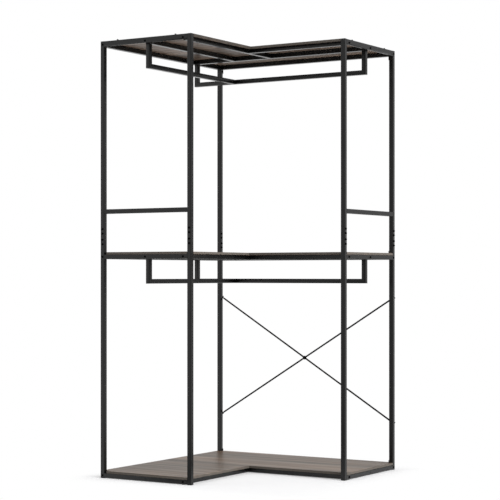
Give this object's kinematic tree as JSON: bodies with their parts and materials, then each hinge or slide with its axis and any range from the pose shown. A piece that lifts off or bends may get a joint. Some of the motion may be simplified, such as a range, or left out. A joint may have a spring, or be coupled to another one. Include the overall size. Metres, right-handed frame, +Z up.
{
  "type": "corner garment rack",
  "caption": "Free-standing L-shaped corner garment rack: black square tube frame, stacked wood-grain boards, hanging bars under the upper levels and a crossed brace behind.",
  "frame": {"origin": "on the floor, at the middle of the square that the two arms span", "axes": "+Z up; the back corner is at -X +Y, the right arm runs along +X and the left arm along -Y; the open inner corner faces +X -Y"},
  "size_m": [1.003, 1.0093, 2],
  "materials": {
    "black_frame": "satin black powder coat",
    "black_bar": "satin black powder coat",
    "black_rod": "black paint on drawn steel rod",
    "black_bolt": "black oxide steel",
    "black_plastic": "fine matte moulded plastic",
    "bare_steel": "bare steel, hidden inside the posts",
    "wood_board": "grey-brown wood-grain laminate, satin"
  },
  "bodies": {
    "root": {"bottom_left_board": "wood_board", "bottom_left_inner_rail": "black_frame", "bottom_left_middle_rail": "black_frame", "bottom_left_outer_rail": "black_frame", "bottom_right_board": "wood_board", "bottom_right_inner_rail": "black_frame", "bottom_right_middle_rail": "black_frame", "bottom_right_outer_rail": "black_frame", "brace_rod_falling": "black_rod", "brace_rod_rising": "black_rod", "corner_post_lower": "black_frame", "corner_post_upper": "black_frame", "end_frame_bolts": "black_bolt", "foot_caps": "black_plastic", "left_end_rail_bottom": "black_frame", "left_end_rail_guard": "black_frame", "left_end_rail_middle": "black_frame", "left_end_rail_top": "black_frame", "left_inner_post_lower": "black_frame", "left_inner_post_upper": "black_frame", "left_outer_post_lower": "black_frame", "left_outer_post_upper": "black_frame", "lower_left_hanging_bar": "black_bar", "lower_right_hanging_bar": "black_bar", "middle_left_board": "wood_board", "middle_left_inner_rail": "black_frame", "middle_left_middle_rail": "black_frame", "middle_left_outer_rail": "black_frame", "middle_right_board": "wood_board", "middle_right_inner_rail": "black_frame", "middle_right_middle_rail": "black_frame", "middle_right_outer_rail": "black_frame", "post_joint_bolts": "black_bolt", "post_joint_sleeves": "bare_steel", "post_top_plugs": "black_plastic", "right_end_rail_bottom": "black_frame", "right_end_rail_guard": "black_frame", "right_end_rail_middle": "black_frame", "right_end_rail_top": "black_frame", "right_inner_post_lower": "black_frame", "right_inner_post_upper": "black_frame", "right_outer_post_lower": "black_frame", "right_outer_post_upper": "black_frame", "top_left_inner_rail": "black_frame", "top_left_middle_rail": "black_frame", "top_left_outer_rail": "black_frame", "top_left_panel": "wood_board", "top_right_inner_rail": "black_frame", "top_right_middle_rail": "black_frame", "top_right_outer_rail": "black_frame", "top_right_panel": "wood_board", "upper_left_hanging_bar": "black_bar", "upper_right_hanging_bar": "black_bar"}
  },
  "joints": []
}
